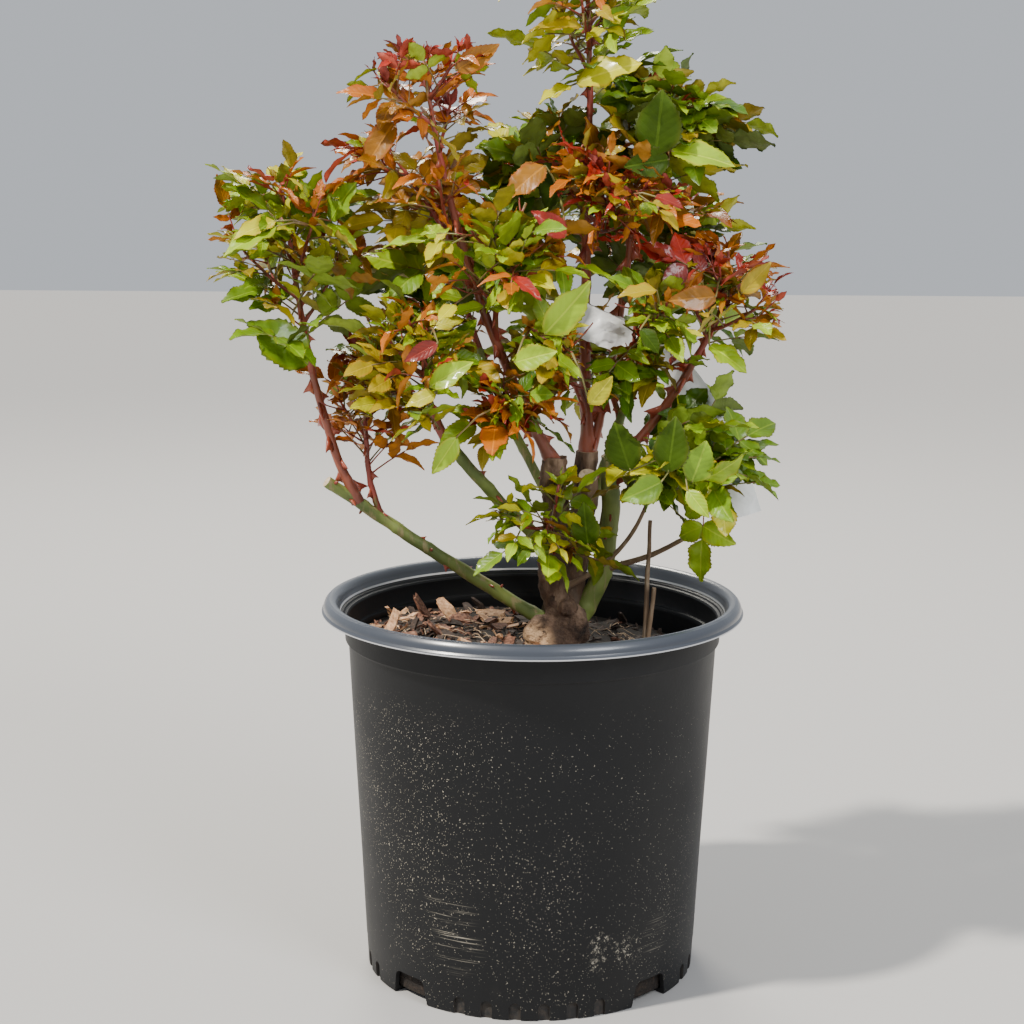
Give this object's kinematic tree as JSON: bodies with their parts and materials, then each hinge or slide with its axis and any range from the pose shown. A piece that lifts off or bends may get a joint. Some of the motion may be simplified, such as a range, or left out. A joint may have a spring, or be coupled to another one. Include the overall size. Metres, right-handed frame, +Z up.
{
  "type": "rose bush",
  "caption": "Young rose bush with woody canes and open tufts of green, bronze and crimson leaves, rooted in a tapered black nursery pot.",
  "frame": {"origin": "middle of the pot's flat underside", "axes": "+Z up the plant; the front, which the picture shows, looks along -Y; +X is to its right in the picture"},
  "size_m": [0.3542, 0.2865, 0.668],
  "materials": {
    "pot": "satin",
    "potting_mix": "matte",
    "old_bark": "matte",
    "green_cane": "satin",
    "red_cane": "satin",
    "dry_wood": "matte",
    "label": "satin",
    "green_leaves": "satin",
    "dark_leaves": "satin",
    "bronze_leaves": "satin",
    "crimson_leaves": "satin"
  },
  "bodies": {
    "root": {"pot": "pot", "soil": "potting_mix", "trunk": "old_bark", "cane_back": "old_bark", "cane_green": "green_cane", "cane_left": "green_cane", "cane_left_mid": "green_cane", "shoot_left": "red_cane", "cane_centre": "red_cane", "cane_left_centre": "red_cane", "cane_right": "red_cane", "cane_right_top": "red_cane", "cane_rear_left": "green_cane", "cane_rear_right": "green_cane", "stub_pale": "dry_wood", "twig_arched": "dry_wood", "stick_dry": "dry_wood", "twig_short": "dry_wood", "label_loop": "label", "label_tail": "label", "foliage_left": "green_leaves", "foliage_left_low": "bronze_leaves", "foliage_left_mid": "green_leaves", "foliage_left_upper": "bronze_leaves", "foliage_left_top": "crimson_leaves", "foliage_inner_left": "green_leaves", "foliage_inner_low": "green_leaves", "foliage_inner_right": "green_leaves", "foliage_top": "green_leaves", "foliage_red": "crimson_leaves", "foliage_upper_back": "dark_leaves", "foliage_right_top": "dark_leaves", "foliage_right": "bronze_leaves", "foliage_right_mid": "dark_leaves", "foliage_right_low": "green_leaves", "foliage_low": "green_leaves", "foliage_rear_left": "dark_leaves", "foliage_rear_right": "dark_leaves", "foliage_rear": "dark_leaves"}
  },
  "joints": []
}
